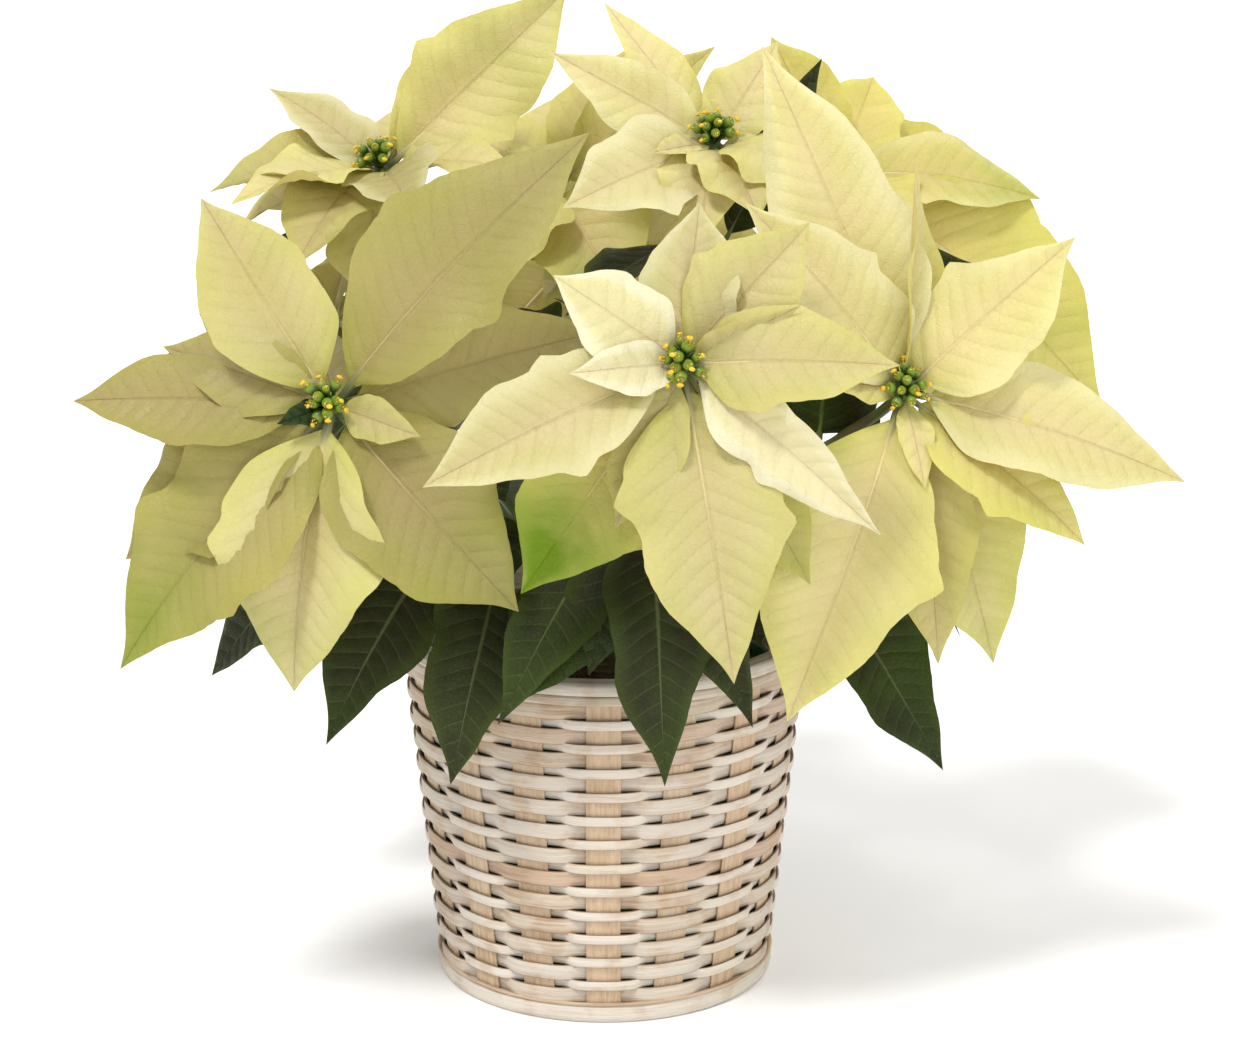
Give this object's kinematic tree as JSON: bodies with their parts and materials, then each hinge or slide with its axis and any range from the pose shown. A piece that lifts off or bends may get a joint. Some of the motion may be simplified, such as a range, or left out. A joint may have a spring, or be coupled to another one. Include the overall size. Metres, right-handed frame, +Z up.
{
  "type": "potted poinsettia",
  "caption": "Cream-white poinsettia with dark green leaves, in a grow pot set inside a round whitewashed woven splint basket.",
  "frame": {"origin": "centre of the basket's flat underside, on the floor", "axes": "+Z up, -Y towards the front of the plant, +X to the right as seen from the front"},
  "size_m": [0.454, 0.3514, 0.429],
  "materials": {
    "bract_cream": "satin",
    "leaf_green": "satin",
    "cyathia_green": "satin",
    "whitewashed_splint": "matte",
    "whitewashed_band": "matte",
    "plain_splint": "matte",
    "pot_plastic": "satin",
    "potting_soil": "matte",
    "woody_stem": "matte"
  },
  "bodies": {
    "root": {"basket_wall": "whitewashed_splint", "basket_foot": "whitewashed_band", "basket_rim": "whitewashed_band", "basket_base": "plain_splint", "grow_pot": "pot_plastic", "soil": "potting_soil", "trunk": "woody_stem", "stem_front_left": "leaf_green", "bracts_front_left": "bract_cream", "cyathia_front_left": "cyathia_green", "stem_upper_left": "leaf_green", "bracts_upper_left": "bract_cream", "cyathia_upper_left": "cyathia_green", "stem_front_centre": "leaf_green", "bracts_front_centre": "bract_cream", "cyathia_front_centre": "cyathia_green", "stem_front_right": "leaf_green", "bracts_front_right": "bract_cream", "cyathia_front_right": "cyathia_green", "stem_top_centre": "leaf_green", "bracts_top_centre": "bract_cream", "cyathia_top_centre": "cyathia_green", "stem_top_back": "leaf_green", "bracts_top_back": "bract_cream", "cyathia_top_back": "cyathia_green", "stem_right_back": "leaf_green", "bracts_right_back": "bract_cream", "cyathia_right_back": "cyathia_green", "stem_right_side": "leaf_green", "bracts_right_side": "bract_cream", "cyathia_right_side": "cyathia_green", "stem_left_back": "leaf_green", "bracts_left_back": "bract_cream", "cyathia_left_back": "cyathia_green", "stem_back_centre": "leaf_green", "bracts_back_centre": "bract_cream", "cyathia_back_centre": "cyathia_green"}
  },
  "joints": []
}
